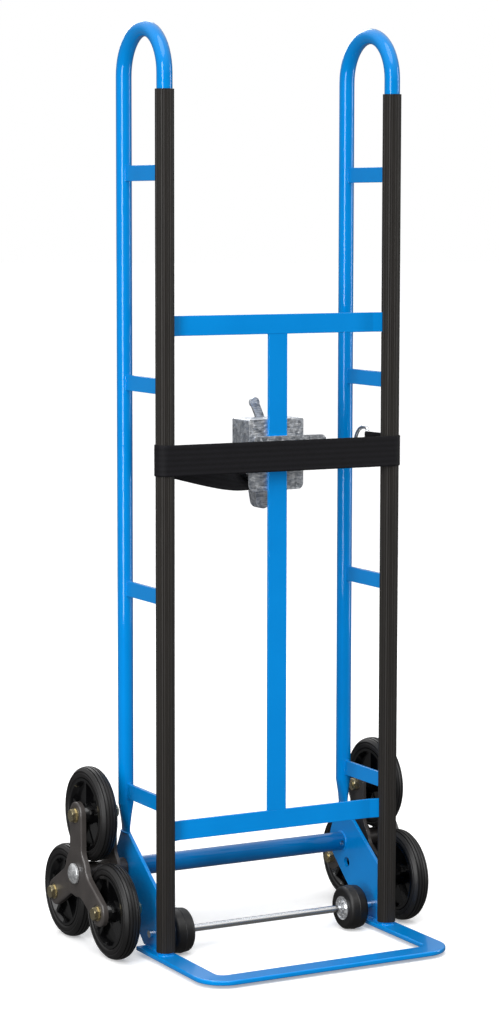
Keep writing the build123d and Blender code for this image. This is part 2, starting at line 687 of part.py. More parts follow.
# Holding pawl: its nose hangs over the teeth, and its ear stands above the housing for the thumb.
nose_radius = ratchet_tip + pawl_clear + pawl_tip
nose_x = nose_radius * math.cos(math.radians(pawl_nose_angle))
nose_z = nose_radius * math.sin(math.radians(pawl_nose_angle))
hold_x, hold_z = pawl_reach_x, spindle_level + pawl_reach_z
hold_face = pawl_outline(hold_x, hold_z, nose_x, spindle_level + nose_z)
ear_rise = ear_height - ear_width / 2
ear_angle = math.degrees(math.atan2(ear_rise, -ear_lean))
ear_reach = math.hypot(ear_rise, ear_lean)
ear = Pos(ear_reach / 2, 0) * Rectangle(ear_reach, ear_neck) + Pos(ear_reach, 0) * Circle(ear_width / 2)
hold_face += Pos(hold_x, hold_z) * Rot(0, 0, ear_angle) * ear
hold_face -= Pos(hold_x, hold_z) * Circle(pawl_pin_diameter / 2 + slip_fit)
save(plate_y(hold_face, ratchet_front, ratchet_back), "holding_pawl")
pin_start = winch_back + winch_sheet
pin_stop = ratchet_back + pawl_head_gap
hold_pin = along_y(pin_start, pin_stop, pawl_pin_diameter / 2, hold_x, hold_z)
hold_pin += along_y(pin_stop, pin_stop + pawl_head_height, pawl_head / 2, hold_x, hold_z)
save(hold_pin, "holding_pawl_pin")

# Handle: a pressed lever hung on the spindle, with turned-back sides and a round end.
# It hangs a little to the right, and the drive pawl with it.
handle_end = spindle_level - handle_length
drive_x, drive_z = -pawl_reach_x, spindle_level - pawl_reach_z
handle_face = Pos(0, spindle_level) * Circle(handle_hub)
handle_face += Pos(0, (spindle_level + handle_end) / 2) * Rectangle(handle_width, handle_length)
handle_face += Pos(0, handle_end) * Circle(handle_width / 2)
handle_face += Pos(drive_x, drive_z) * Circle(pawl_hub + 1)
lever = plate_y(handle_face, handle_front, handle_back)
skirt_top = spindle_level - handle_skirt_drop
skirt_outside = Rectangle(handle_width, handle_length - handle_skirt_drop)
skirt_outside = Pos(0, (skirt_top + handle_end) / 2) * skirt_outside
skirt_outside += Pos(0, handle_end) * Circle(handle_width / 2)
skirt = skirt_outside - offset(skirt_outside, -winch_sheet)
skirt -= Pos(0, skirt_top) * Rectangle(handle_width - 2 * winch_sheet, 4 * winch_sheet)
lever += plate_y(skirt, handle_back, handle_front + handle_flange)
lever -= along_y(handle_front, handle_back, spindle_diameter / 2 + slip_fit, 0, spindle_level)
spindle_axis = Axis((0, 0, spindle_level), (0, -1, 0))
save(lever.rotate(spindle_axis, handle_lean), "winch_handle")

# Drive pawl, carried by the handle in the plane of the ratchet wheel.
drive_face = pawl_outline(drive_x, drive_z, -nose_x, spindle_level - nose_z)
drive_face -= Pos(drive_x, drive_z) * Circle(pawl_pin_diameter / 2 + slip_fit)
drive_pawl = plate_y(drive_face, ratchet_front, ratchet_back)
drive_pin = along_y(ratchet_front, handle_front, pawl_pin_diameter / 2, drive_x, drive_z)
save(drive_pawl.rotate(spindle_axis, handle_lean), "drive_pawl")
save(drive_pin.rotate(spindle_axis, handle_lean), "drive_pawl_pin")

# Webbing on the spindle: a plain core and the outer turns as one strip that winds outwards.
# Half circles about two centres give the spiral; it ends under the spindle, running to the left.
roll_front = winch_inside + (winch_depth - strap_width) / 2
roll_pitch = strap_thickness + roll_gap
strip_start = roll_core + roll_gap + strap_thickness / 2
strip_arcs = []
spiral = Curve()
tip = strip_start
for step in range(2 * roll_turns + 1):
    radius = strip_start + step * roll_pitch / 2
    way = 1 if step % 2 == 0 else -1
    centre = tip - way * radius
    spiral += ThreePointArc((0, tip), (way * radius, centre), (0, centre - way * radius))
    strip_arcs.append((centre, radius))
    tip = centre - way * radius
core_face = Circle(roll_core) - Circle(spindle_diameter / 2 + slip_fit)
root_wedge = Pos(-1, strip_start - strap_thickness / 2) * Rectangle(3, 2 * roll_gap + 1)
roll_face = Pos(0, spindle_level) * (core_face + trace(spiral, strap_thickness) + root_wedge)
save(plate_y(roll_face, roll_front, roll_front + strap_width), "webbing_roll")
turn_points = []
for step, (centre, radius) in enumerate(strip_arcs):
    for part in range(31):
        swing = math.pi * (part / 30 + step % 2)
        turn_points.append((radius * math.sin(swing), centre + radius * math.cos(swing), step * 30 + part))
least_gap = min(
    math.hypot(ax - bx, az - bz) - strap_thickness
    for ax, az, a in turn_points
    for bx, bz, b in turn_points
    if b - a > 40
)
print(f"webbing turns: least gap {least_gap:.2f} mm")

# Strap: flat under the winch roll, turned on edge on its way to the left post, round that post,
# across the front, round the right post and back to the ring.
wrap = sleeve_radius + strap_lay + strap_thickness / 2
leave_x, leave_y = strap_turn_in - winch_width / 2, roll_front + strap_width / 2
leave_z = spindle_level + tip
to_winch = (leave_x + post_x, leave_y)
start_angle = math.atan2(to_winch[1], to_winch[0]) + math.acos(wrap / math.hypot(*to_winch))
ring_x = post_x + ring_out
ring_front = frame_depth - tube_radius - ring_to_leg - ring_width
loop = ring_wire / 2 + strap_lay + strap_thickness / 2
out_angle = math.atan2(ring_front, ring_out) - math.acos((wrap - loop) / math.hypot(ring_out, ring_front))


def round_post(side, angle):
    """Place on the strap's middle where it lies round a front post."""
    return (side * post_x + wrap * math.cos(angle), wrap * math.sin(angle))


def by_ring(forward, outward):
    """Place beside the ring: along the strap towards the post, and away from the truck."""
    x = ring_x + forward * math.sin(out_angle) + outward * math.cos(out_angle)
    y = ring_front - forward * math.cos(out_angle) + outward * math.sin(out_angle)
    return (x, y)


sewn_out = loop - strap_thickness
loop_end = math.atan2(sewn_out, sewn_run) - math.acos(loop / math.hypot(sewn_run, sewn_out))
loop_middle = (2.5 * math.pi + loop_end) / 2
loop_tail = by_ring(loop * math.cos(loop_end), loop * math.sin(loop_end))
loop_back = by_ring(loop * math.cos(loop_middle), loop * math.sin(loop_middle))
front_angle = 1.5 * math.pi
post_start = round_post(left, start_angle)
front_left = round_post(left, front_angle)
front_right = round_post(right, front_angle)
side_start = round_post(right, out_angle)
strap_path = ThreePointArc(post_start, round_post(left, (start_angle + front_angle) / 2), front_left)
strap_path += Line(front_left, front_right)
strap_path += ThreePointArc(front_right, round_post(right, (out_angle - math.pi / 2) / 2), side_start)
strap_path += Line(side_start, by_ring(0, loop))
strap_path += ThreePointArc(by_ring(0, loop), loop_back, loop_tail)
strap_face = trace(strap_path, strap_thickness)
strap_face += trace(Line(loop_tail, by_ring(sewn_run, sewn_out)), strap_thickness)
strap_face += trace(Line(by_ring(sewn_run, sewn_out), by_ring(strap_tail, sewn_out)), strap_thickness)
strap = Pos(0, 0, strap_level - strap_width / 2) * extrude(strap_face, strap_width)
run_x, run_y = post_start[0] - leave_x, post_start[1] - leave_y
run_heading = Vector(run_x, run_y, 0).normalized()
upward = Vector(0, 0, 1)
strap_sections = []
for step in range(twist_steps + 1):
    share = step / twist_steps
    ease = 1 - (1 - share) ** 3
    height = leave_z + (strap_level - leave_z) * share
    middle = Vector(leave_x + run_x * share, leave_y + run_y * share, height)
    heading = (Vector(-1, 0, 0) * (1 - ease) + run_heading * ease).normalized()
    turn = math.pi / 2 * ease
    across = heading.cross(upward).normalized() * math.cos(turn) + upward * math.sin(turn)
    section = Plane(middle, x_dir=across, z_dir=heading)
    strap_sections.append(section * Rectangle(strap_width, strap_thickness))
strap += loft(strap_sections, ruled=True)
strap += Pos(leave_x / 2, leave_y, leave_z) * Box(-leave_x, strap_width, strap_thickness)
save(strap, "tie_strap")

# Ring at the end of the strap, and the hook on the right rear leg that it is held by.
ring_outline = Rectangle(ring_width, ring_height)
ring_outline = fillet(ring_outline.vertices().group_by(Axis.X)[0], ring_strap_corner)
ring_outline = fillet(ring_outline.vertices().group_by(Axis.X)[-1], ring_corner)
ring_middle = (ring_x, ring_front + ring_width / 2, strap_level)
ring_path = (Plane(ring_middle, x_dir=(0, 1, 0), z_dir=(1, 0, 0)) * ring_outline).wires()[0]
ring_section = Plane(ring_path @ 0, z_dir=ring_path % 0) * Circle(ring_wire / 2)
save(sweep(ring_section, path=ring_path, transition=Transition.ROUND), "strap_ring")
hook_bend = ring_wire / 2 + hook_gap + hook_wire / 2
hook_y = ring_front + ring_width + hook_gap / 2
hook_root = (ring_x - hook_bend, frame_depth, strap_level)
hook_start = (ring_x - hook_bend, hook_y, strap_level)
hook_end = (ring_x + hook_bend, hook_y, strap_level)
hook_path = Line(hook_root, hook_start)
hook_path += ThreePointArc(hook_start, (ring_x, hook_y - hook_bend, strap_level), hook_end)
hook_path += Line(hook_end, (ring_x + hook_bend, hook_y + hook_tip, strap_level))
hook = sweep(Plane(hook_root, z_dir=(0, -1, 0)) * Circle(hook_wire / 2), path=hook_path)
hook -= Pos(post_x, 0, 0) * rear_cutter
save(hook.solids().sort_by(SortBy.VOLUME)[-1], "strap_hook")
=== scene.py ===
import bmesh
import bpy
import math
from mathutils import Matrix, Vector


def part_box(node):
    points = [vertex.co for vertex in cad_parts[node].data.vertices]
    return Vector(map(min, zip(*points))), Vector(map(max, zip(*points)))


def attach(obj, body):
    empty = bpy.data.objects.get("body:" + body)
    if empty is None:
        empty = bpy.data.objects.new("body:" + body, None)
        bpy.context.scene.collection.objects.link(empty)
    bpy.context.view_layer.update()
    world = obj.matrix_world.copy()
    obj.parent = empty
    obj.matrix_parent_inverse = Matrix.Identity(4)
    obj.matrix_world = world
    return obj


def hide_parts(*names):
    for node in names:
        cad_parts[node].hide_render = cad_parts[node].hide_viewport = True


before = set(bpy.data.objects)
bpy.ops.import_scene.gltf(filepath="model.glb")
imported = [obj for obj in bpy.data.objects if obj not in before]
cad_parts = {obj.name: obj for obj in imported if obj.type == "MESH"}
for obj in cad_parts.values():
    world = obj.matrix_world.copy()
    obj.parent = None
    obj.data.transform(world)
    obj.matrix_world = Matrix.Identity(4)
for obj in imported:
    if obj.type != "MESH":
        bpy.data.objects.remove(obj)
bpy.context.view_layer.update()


# Side frames: one bent steel tube on each side, up the post, over the hand loop and down to a pinched foot.
# Cold-drawn tube, welded into the frame and then sprayed with powder and baked in one piece with it.
def colour(code):
    """An sRGB hex colour as the linear values that a shader takes."""
    shares = [int(code[place : place + 2], 16) / 255 for place in (1, 3, 5)]
    return tuple(s / 12.92 if s <= 0.04045 else ((s + 0.055) / 1.055) ** 2.4 for s in shares) + (1.0,)


def wire(tree, node, inputs):
    """Fills a node's inputs: a plain value is set on the socket, another node's output is linked to it."""
    for name, value in inputs.items():
        socket = next(s for s in node.inputs if name in (s.identifier, s.name))
        if isinstance(value, bpy.types.NodeSocket):
            tree.links.new(value, socket)
        else:
            socket.default_value = value
    return node


def add_node(tree, kind, inputs, **settings):
    """Adds a shader node with its settings, and fills its inputs."""
    node = tree.nodes.new(kind)
    for name, value in settings.items():
        setattr(node, name, value)
    return wire(tree, node, inputs)


def new_finish(name):
    """Starts a material: gives it with its tree, its surface shader and the place on the piece in metres."""
    finish = bpy.data.materials.new(name)
    finish.use_nodes = True
    tree = finish.node_tree
    place = tree.nodes.new("ShaderNodeTexCoord").outputs["Object"]
    return finish, tree, tree.nodes["Principled BSDF"], place


def dress(finish, *nodes):
    """Gives CAD nodes their finish."""
    for name in nodes:
        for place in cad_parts[name].material_slots:
            place.link = "OBJECT"
            place.material = finish


def both(name):
    """The left and the right node of a pair."""
    return [f"{name}_left", f"{name}_right"]


# Baked powder coat: full gloss with a faint orange peel, which softens the edges of what it mirrors.
# The coat is a little thinner and darker in patches. The axle tube gets a darker copy of the same coat, which
# is painted shade for the shade it lies in.
# Real peel is about 1 mm; it is drawn coarser to show.
peel_size = 0.0025
patch_size = 0.09
coats = []
for name, thin, thick in (
    ("baked_azure_powder_coat", "#007AC5", "#0088D6"),
    # A darker copy of the same coat for the axle tube: painted shade, not a different paint.
    ("baked_blue_powder_coat_painted_shade", "#00588F", "#0064A2"),
):
    finish, tree, surface, place = new_finish(name)
    peel = add_node(tree, "ShaderNodeTexNoise", {"Vector": place, "Scale": 1 / peel_size, "Detail": 2.0})
    patches = add_node(tree, "ShaderNodeTexNoise", {"Vector": place, "Scale": 1 / patch_size, "Detail": 4.0})
    tint = add_node(
        tree,
        "ShaderNodeMix",
        {"Factor_Float": patches.outputs["Fac"], "A_Color": colour(thin), "B_Color": colour(thick)},
        data_type="RGBA",
    )
    shine = add_node(
        tree, "ShaderNodeMapRange", {"Value": patches.outputs["Fac"], "To Min": 0.24, "To Max": 0.36}
    )
    skin = add_node(
        tree, "ShaderNodeBump", {"Height": peel.outputs["Fac"], "Strength": 0.3, "Distance": 0.0002}
    )
    wire(
        tree,
        surface,
        {
            "Base Color": tint.outputs[2],
            "Roughness": shine.outputs["Result"],
            "Normal": skin.outputs["Normal"],
            "IOR": 1.5,
            "Specular Tint": colour("#0A78E0"),
            "Coat Weight": 0.55,
            "Coat Roughness": 0.04,
        },
    )
    coats.append(finish)
powder_coat, shaded_axle_tube_coat = coats
dress(powder_coat, *both("side_frame"))


# Rungs, crossbars and the upright: flat bars of mild steel set on edge, each end welded round to the tubes.
# The welds are laid by hand, so each bead is a row of small overlapping puddles under the same coat.
weld_radius = 0.0021
weld_pitch = 0.0030
weld_slices = 4
weld_swell = 0.22
weld_end = 0.45
weld_sides = 8
upward = Vector((0, 0, 1))
steep = 0.9


def ring_points(middle, one, other, count):
    """Points round an ellipse, given its middle and its two half axes."""
    turns = [2 * math.pi * step / count for step in range(count)]
    return [middle + math.cos(turn) * one + math.sin(turn) * other for turn in turns]


def join_rings(mesh, rings):
    """Adds the faces between each ring of points and the next."""
    for one, other in zip(rings, rings[1:]):
        for step in range(len(one)):
            after = (step + 1) % len(one)
            mesh.faces.new((one[step], one[after], other[after], other[step]))


def add_bead(mesh, points, closed):
    """Adds a weld bead to a bmesh: a round run along the points that swells once for each puddle."""
    stations = []
    travelled = 0.0
    run = points + points[:1] if closed else points
    for start, end in zip(run, run[1:]):
        length = (end - start).length
        steps = max(1, round(length / (weld_pitch / weld_slices)))
        for step in range(steps):
            stations.append((start.lerp(end, step / steps), travelled + length * step / steps))
        travelled += length
    if not closed:
        stations.append((run[-1], travelled))
    rings = []
    for place, (middle, along) in enumerate(stations):
        before = stations[place - 1][0] if place or closed else middle
        after = stations[(place + 1) % len(stations)][0] if place + 1 < len(stations) or closed else middle
        heading = (after - before).normalized()
        side = (heading.cross(upward) if abs(heading.z) < steep else heading.orthogonal()).normalized()
        radius = weld_radius * (1 - weld_swell + weld_swell * abs(math.sin(math.pi * along / weld_pitch)))
        if not closed:
            radius *= min(1.0, weld_end + min(along, travelled - along) / (2 * weld_radius))
        ring = ring_points(middle, radius * side, radius * heading.cross(side), weld_sides)
        rings.append([mesh.verts.new(point) for point in ring])
    if closed:
        join_rings(mesh, rings + rings[:1])
    else:
        join_rings(mesh, rings)
        mesh.faces.new(reversed(rings[0]))
        mesh.faces.new(rings[-1])


def make_piece(name, mesh, finish, body):
    """Turns a bmesh into a smooth piece that moves with a body."""
    bmesh.ops.recalc_face_normals(mesh, faces=mesh.faces)
    data = bpy.data.meshes.new(name)
    mesh.to_mesh(data)
    mesh.free()
    data.polygons.foreach_set("use_smooth", [True] * len(data.polygons))
    data.materials.append(finish)
    piece = bpy.data.objects.new(name, data)
    bpy.context.collection.objects.link(piece)
    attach(piece, body)
    return piece


dress(powder_coat, *both("rungs"), "upper_crossbar", "lower_crossbar", "centre_upright")
tube_radius = 0.0127
rung_half = 0.003
rung_rise = 0.0125
rung_count = 4
rung_pitch = 0.337
lowest_rung = 0.257
rung_corners = [(-1, -1), (1, -1), (1, 1), (-1, 1)]
welds = bmesh.new()
rear_leg_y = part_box("side_frame_left")[1].y - tube_radius
leg_face = rear_leg_y - math.sqrt(tube_radius**2 - rung_half**2)
for node in both("rungs"):
    low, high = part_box(node)
    middle_x = (low.x + high.x) / 2
    for step in range(rung_count):
        middle = Vector((middle_x, leg_face, lowest_rung + rung_pitch * step))
        outline = [middle + Vector((a * rung_half, 0, b * rung_rise)) for a, b in rung_corners]
        add_bead(welds, outline, True)
upright_low, upright_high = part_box("centre_upright")
bar_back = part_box("upper_crossbar")[1].y
for level in (upright_low.z, upright_high.z):
    ends = [Vector((edge, bar_back, level)) for edge in (upright_low.x, upright_high.x)]
    add_bead(welds, ends, False)
make_piece("bar_welds", welds, powder_coat, "frame")


# Toe hoop, gussets and axle tube: a bar bent on edge, two flame-cut plates, and a tube that guards the axle.
# Beads run round the post feet, along both faces of each plate and round the ends of the tube.
# The tube has the darker copy of the coat, as painted shade.
dress(powder_coat, "toe_hoop", *both("gusset"))
dress(shaded_axle_tube_coat, "axle_tube")
post_points = 48
pinch_points = 40
axle_points = 56
pinch_across = Vector((0.0038, 0, 0))
pinch_along = Vector((0, 0.0136, 0))
toe_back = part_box("toe_hoop")[1].y
tube_low, tube_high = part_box("axle_tube")
axle_y = (tube_low.y + tube_high.y) / 2
axle_z = (tube_low.z + tube_high.z) / 2
axle_tube_radius = (tube_high.z - tube_low.z) / 2
axle_up, axle_back = Vector((0, 0, axle_tube_radius)), Vector((0, axle_tube_radius, 0))
welds = bmesh.new()
for side, tube_end in (("left", tube_low.x), ("right", tube_high.x)):
    post_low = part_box(f"side_frame_{side}")[0]
    plate_low, plate_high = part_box(f"gusset_{side}")
    post_x = (plate_low.x + plate_high.x) / 2
    foot = Vector((post_x, post_low.y + tube_radius, post_low.z))
    sideways, backward = Vector((tube_radius, 0, 0)), Vector((0, tube_radius, 0))
    add_bead(welds, ring_points(foot, sideways, backward, post_points), True)
    for edge in (plate_low.x, plate_high.x):
        start = Vector((edge, plate_low.y + 2 * weld_radius, plate_low.z))
        add_bead(welds, [start, Vector((edge, toe_back - weld_radius, plate_low.z))], False)
    leg_foot = Vector((post_x, rear_leg_y, plate_high.z))
    add_bead(welds, ring_points(leg_foot, pinch_across, pinch_along, pinch_points), True)
    axle_end = Vector((tube_end, axle_y, axle_z))
    add_bead(welds, ring_points(axle_end, axle_up, axle_back, axle_points), True)
make_piece("foot_and_plate_welds", welds, powder_coat, "frame")


# Sleeves: fluted profiles, cut to length and snapped over the front posts through the slit at the back.
# Extruded PVC: dull charcoal, with fine draw lines along the profile.
# Marks from handling dull it in places.
draw_line = 0.0011
draw_stretch = 0.02
handling_size = 0.04
sleeve_plastic, tree, surface, place = new_finish("extruded_charcoal_pvc")
stretch = add_node(tree, "ShaderNodeMapping", {"Vector": place, "Scale": (1.0, 1.0, draw_stretch)})
lines = add_node(
    tree, "ShaderNodeTexNoise", {"Vector": stretch.outputs["Vector"], "Scale": 1 / draw_line, "Detail": 3.0}
)
marks = add_node(
    tree,
    "ShaderNodeTexNoise",
    {"Vector": place, "Scale": 1 / handling_size, "Detail": 6.0, "Roughness": 0.65},
)
tint = add_node(
    tree,
    "ShaderNodeMix",
    {"Factor_Float": lines.outputs["Fac"], "A_Color": colour("#141211"), "B_Color": colour("#26231F")},
    data_type="RGBA",
)
shine = add_node(tree, "ShaderNodeMapRange", {"Value": marks.outputs["Fac"], "To Min": 0.42, "To Max": 0.66})
skin = add_node(tree, "ShaderNodeBump", {"Height": lines.outputs["Fac"], "Strength": 0.4, "Distance": 0.0003})
wire(
    tree,
    surface,
    {
        "Base Color": tint.outputs[2],
        "Roughness": shine.outputs["Result"],
        "Normal": skin.outputs["Normal"],
        "IOR": 1.53,
        "Specular IOR Level": 0.25,
    },
)
dress(sleeve_plastic, *both("sleeve"))


# Axle and roller rod: two steel bars that run right across the truck, through the gussets.
# Drawn steel, left bright from the die: near mirror bright, with fine lines along the bar.
die_line = 0.0009
die_stretch = 0.03
drawn_steel, tree, surface, place = new_finish("drawn_bright_steel")
stretch = add_node(tree, "ShaderNodeMapping", {"Vector": place, "Scale": (die_stretch, 1.0, 1.0)})
lines = add_node(
    tree, "ShaderNodeTexNoise", {"Vector": stretch.outputs["Vector"], "Scale": 1 / die_line, "Detail": 3.0}
)
tint = add_node(
    tree,
    "ShaderNodeMix",
    {"Factor_Float": lines.outputs["Fac"], "A_Color": colour("#CDD0D3"), "B_Color": colour("#F5F6F7")},
    data_type="RGBA",
)
shine = add_node(tree, "ShaderNodeMapRange", {"Value": lines.outputs["Fac"], "To Min": 0.12, "To Max": 0.3})
skin = add_node(
    tree, "ShaderNodeBump", {"Height": lines.outputs["Fac"], "Strength": 0.15, "Distance": 0.0002}
)
wire(
    tree,
    surface,
    {
        "Base Color": tint.outputs[2],
        "Roughness": shine.outputs["Result"],
        "Normal": skin.outputs["Normal"],
        "Metallic": 1.0,
    },
)
dress(drawn_steel, "main_axle", "roller_rod")


# Axle caps, rod collars, hook and the small winch pieces: stamped or turned steel.
# The caps are pushed over the axle ends, the collars hold the rollers in place along the rod.
# Barrel-plated zinc: silver, with pale clouds of white bloom and small dings from tumbling.
cloud_size = 0.004
ding_size = 0.0025
bright_zinc, tree, surface, place = new_finish("barrel_plated_bright_zinc")
clouds = add_node(tree, "ShaderNodeTexNoise", {"Vector": place, "Scale": 1 / cloud_size, "Detail": 4.0})
dings = add_node(
    tree, "ShaderNodeTexVoronoi", {"Vector": place, "Scale": 1 / ding_size}, feature="SMOOTH_F1"
)
tint = add_node(
    tree,
    "ShaderNodeMix",
    {"Factor_Float": clouds.outputs["Fac"], "A_Color": colour("#7A7D81"), "B_Color": colour("#F2F3F4")},
    data_type="RGBA",
)
shine = add_node(tree, "ShaderNodeMapRange", {"Value": clouds.outputs["Fac"], "To Min": 0.34, "To Max": 0.16})
bloom = add_node(tree, "ShaderNodeMapRange", {"Value": clouds.outputs["Fac"], "To Min": 1.0, "To Max": 0.35})
skin = add_node(
    tree, "ShaderNodeBump", {"Height": dings.outputs["Distance"], "Strength": 0.35, "Distance": 0.0003}
)
wire(
    tree,
    surface,
    {
        "Base Color": tint.outputs[2],
        "Roughness": shine.outputs["Result"],
        "Normal": skin.outputs["Normal"],
        "Metallic": bloom.outputs["Result"],
    },
)
dress(bright_zinc, *both("axle_cap"), "rod_collars", "strap_hook", "winch_spindle", "ratchet_wheel")
dress(bright_zinc, "holding_pawl_pin", "drive_pawl_pin", "clamp_bolts")


# Spiders: two three-armed steel plates on a hub sleeve at each end of the axle; they turn as one.
# Cut and pressed, then dipped in black coat, which shows the grain of the mill scale beneath.
# Dipped black coat: satin dark grey with a fine grain, thinner and greyer in cloudy patches.
grain_size = 0.0022
scale_size = 0.035
black_coat, tree, surface, place = new_finish("dipped_satin_black_coat")
grain = add_node(
    tree, "ShaderNodeTexNoise", {"Vector": place, "Scale": 1 / grain_size, "Detail": 5.0, "Roughness": 0.7}
)
mill_scale = add_node(tree, "ShaderNodeTexNoise", {"Vector": place, "Scale": 1 / scale_size, "Detail": 5.0})
tint = add_node(
    tree,
    "ShaderNodeMix",
    {"Factor_Float": mill_scale.outputs["Fac"], "A_Color": colour("#2B2827"), "B_Color": colour("#4A4644")},
    data_type="RGBA",
)
shine = add_node(tree, "ShaderNodeMapRange", {"Value": grain.outputs["Fac"], "To Min": 0.2, "To Max": 0.42})
skin = add_node(tree, "ShaderNodeBump", {"Height": grain.outputs["Fac"], "Strength": 0.4, "Distance": 0.0004})
wire(
    tree,
    surface,
    {
        "Base Color": tint.outputs[2],
        "Roughness": shine.outputs["Result"],
        "Normal": skin.outputs["Normal"],
        "IOR": 1.5,
    },
)
dress(black_coat, *both("spider_inner"), *both("spider_outer"), *both("spider_hub"))


# Wheel bolts and nuts: three on each spider, each bolt an axle for one wheel. Cold-forged steel.
# Yellow-passivated zinc plate: pale gold, darker and duller where the film is thicker.
film_size = 0.009
yellow_zinc, tree, surface, place = new_finish("yellow_passivated_zinc")
film = add_node(tree, "ShaderNodeTexNoise", {"Vector": place, "Scale": 1 / film_size, "Detail": 4.0})
tint = add_node(
    tree,
    "ShaderNodeMix",
    {"Factor_Float": film.outputs["Fac"], "A_Color": colour("#AE9A66"), "B_Color": colour("#F2EACB")},
    data_type="RGBA",
)
shine = add_node(tree, "ShaderNodeMapRange", {"Value": film.outputs["Fac"], "To Min": 0.36, "To Max": 0.2})
skin = add_node(tree, "ShaderNodeBump", {"Height": film.outputs["Fac"], "Strength": 0.2, "Distance": 0.0004})
wire(
    tree,
    surface,
    {
        "Base Color": tint.outputs[2],
        "Roughness": shine.outputs["Result"],
        "Normal": skin.outputs["Normal"],
        "Metallic": 1.0,
    },
)
dress(yellow_zinc, *both("wheel_bolts"), *both("wheel_nuts"))


# Wheels: six alike, three on each spider. A solid rubber tyre is moulded on a ribbed plastic rim.
# The rim comes glossy from the mould; the tyre is duller.
# Moulded nylon: gloss black with slight flow marks that bend the highlights.
flow_size = 0.018
wheel_names = [f"{place}_{side}" for place in ("top", "front", "rear") for side in ("left", "right")]
rim_plastic, tree, surface, place = new_finish("moulded_gloss_black_nylon")
flow = add_node(tree, "ShaderNodeTexNoise", {"Vector": place, "Scale": 1 / flow_size, "Detail": 3.0})
tint = add_node(
    tree,
    "ShaderNodeMix",
    {"Factor_Float": flow.outputs["Fac"], "A_Color": colour("#040405"), "B_Color": colour("#0B0B0C")},
    data_type="RGBA",
)
shine = add_node(tree, "ShaderNodeMapRange", {"Value": flow.outputs["Fac"], "To Min": 0.14, "To Max": 0.3})
skin = add_node(tree, "ShaderNodeBump", {"Height": flow.outputs["Fac"], "Strength": 0.25, "Distance": 0.001})
wire(
    tree,
    surface,
    {
        "Base Color": tint.outputs[2],
        "Roughness": shine.outputs["Result"],
        "Normal": skin.outputs["Normal"],
        "IOR": 1.53,
        "Specular IOR Level": 0.2,
        "Coat Weight": 0.4,
        "Coat Roughness": 0.03,
    },
)
dress(rim_plastic, *[f"rim_{name}" for name in wheel_names])

# Moulded rubber: near black with a low sheen, a fine mould texture and a grey bloom in patches.
pore_size = 0.0016
bloom_size = 0.03
tyre_rubber, tree, surface, place = new_finish("moulded_black_rubber")
pores = add_node(tree, "ShaderNodeTexNoise", {"Vector": place, "Scale": 1 / pore_size, "Detail": 3.0})
bloom = add_node(tree, "ShaderNodeTexNoise", {"Vector": place, "Scale": 1 / bloom_size, "Detail": 6.0})
tint = add_node(
    tree,
    "ShaderNodeMix",
    {"Factor_Float": bloom.outputs["Fac"], "A_Color": colour("#0A0A0B"), "B_Color": colour("#191818")},
    data_type="RGBA",
)
shine = add_node(tree, "ShaderNodeMapRange", {"Value": bloom.outputs["Fac"], "To Min": 0.36, "To Max": 0.6})
skin = add_node(tree, "ShaderNodeBump", {"Height": pores.outputs["Fac"], "Strength": 0.3, "Distance": 0.0003})
wire(
    tree,
    surface,
    {
        "Base Color": tint.outputs[2],
        "Roughness": shine.outputs["Result"],
        "Normal": skin.outputs["Normal"],
        "IOR": 1.52,
        "Specular IOR Level": 0.35,
    },
)
dress(tyre_rubber, *[f"tyre_{name}" for name in wheel_names])


# Front rollers: two small wheels behind the toe that carry the truck over a kerb or a stair edge.
# Rubber moulded round a pressed hub that runs on the rod; the hub is plated like the collars beside it.
dress(tyre_rubber, *both("roller_tyre"))
dress(bright_zinc, *both("roller_hub"))


# Strap winch: a folded box on the upright, held by a clamp plate, with a ratchet, two pawls and a lever.
# Hot-dip galvanised sheet: flat crystals of zinc a few millimetres wide, each with its own grey and shine,
# the palest with a thin white bloom. Fine mill lines run across it. Its edges are painted near white,
# partly as rubbed wear and partly as a painted highlight along them.
spangle_size = 0.005
mill_line = 0.0012
mill_stretch = 0.12
edge_wear_and_highlight_reach = 0.0013


def edge_wear_and_highlight_mask(tree, reach):
    """How near a place is to a sharp edge: 0 on the flats and 1 on the edge itself."""
    rounded = add_node(tree, "ShaderNodeBevel", {"Radius": reach}, samples=6)
    shape = add_node(tree, "ShaderNodeNewGeometry", {})
    turned = add_node(
        tree,
        "ShaderNodeVectorMath",
        {"Vector": rounded.outputs["Normal"], "Vector_001": shape.outputs["Normal"]},
        operation="DOT_PRODUCT",
    )
    edge = add_node(
        tree, "ShaderNodeMapRange", {"Value": turned.outputs["Value"], "From Min": 0.99, "From Max": 0.85}
    )
    return edge.outputs["Result"]


spangled_zinc, tree, surface, place = new_finish("hot_dip_spangled_zinc")
spangle = add_node(
    tree, "ShaderNodeTexVoronoi", {"Vector": place, "Scale": 1 / spangle_size, "Randomness": 1.0}
)
crystal = add_node(tree, "ShaderNodeSeparateColor", {"Color": spangle.outputs["Color"]})
flash = add_node(tree, "ShaderNodeMapRange", {"Value": crystal.outputs["Red"], "To Min": 0.6, "To Max": 1.0})
stretch = add_node(tree, "ShaderNodeMapping", {"Vector": place, "Scale": (mill_stretch, 1.0, 1.0)})
lines = add_node(
    tree, "ShaderNodeTexNoise", {"Vector": stretch.outputs["Vector"], "Scale": 1 / mill_line, "Detail": 3.0}
)
mottle = add_node(
    tree,
    "ShaderNodeMath",
    {"Value": flash.outputs["Result"], "Value_001": lines.outputs["Fac"]},
    operation="MULTIPLY",
)
contrast = add_node(
    tree, "ShaderNodeMapRange", {"Value": mottle.outputs["Value"], "From Min": 0.12, "From Max": 0.66}
)
tint = add_node(
    tree,
    "ShaderNodeMix",
    {"Factor_Float": contrast.outputs["Result"], "A_Color": colour("#5F6C7E"), "B_Color": colour("#FBFDFF")},
    data_type="RGBA",
)
